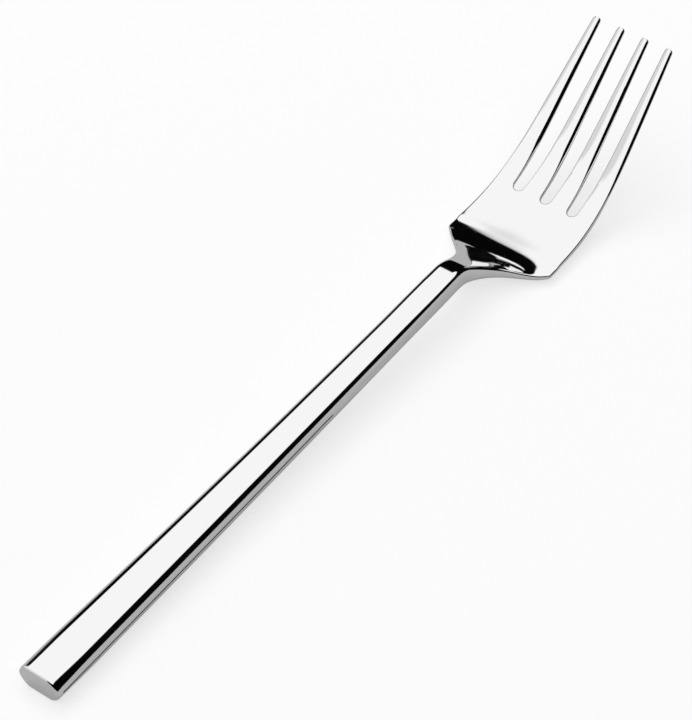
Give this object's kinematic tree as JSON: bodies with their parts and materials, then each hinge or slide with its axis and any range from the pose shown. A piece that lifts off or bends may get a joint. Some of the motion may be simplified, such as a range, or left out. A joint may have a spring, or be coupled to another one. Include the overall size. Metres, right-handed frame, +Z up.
{
  "type": "table fork",
  "caption": "Polished steel table fork with a slim tapering bar handle, a dropped neck, a shallow dished bowl and slender upswept tines.",
  "frame": {"origin": "centre of the fork's box, at the height of the table that it lies on", "axes": "+X across the fork to the right of someone looking from the butt, +Y along it from the butt to the tine tips, +Z up from the table"},
  "size_m": [0.0274, 0.1958, 0.0276],
  "materials": {
    "polished_steel": "stainless steel, mirror polished",
    "handle_cement": "set handle cement, matt, sealed inside the handle"
  },
  "bodies": {
    "root": {"fork_head": "polished_steel", "handle_front_shell": "polished_steel", "handle_back_shell": "polished_steel", "butt_cap": "polished_steel", "tang_cement": "handle_cement"}
  },
  "joints": []
}
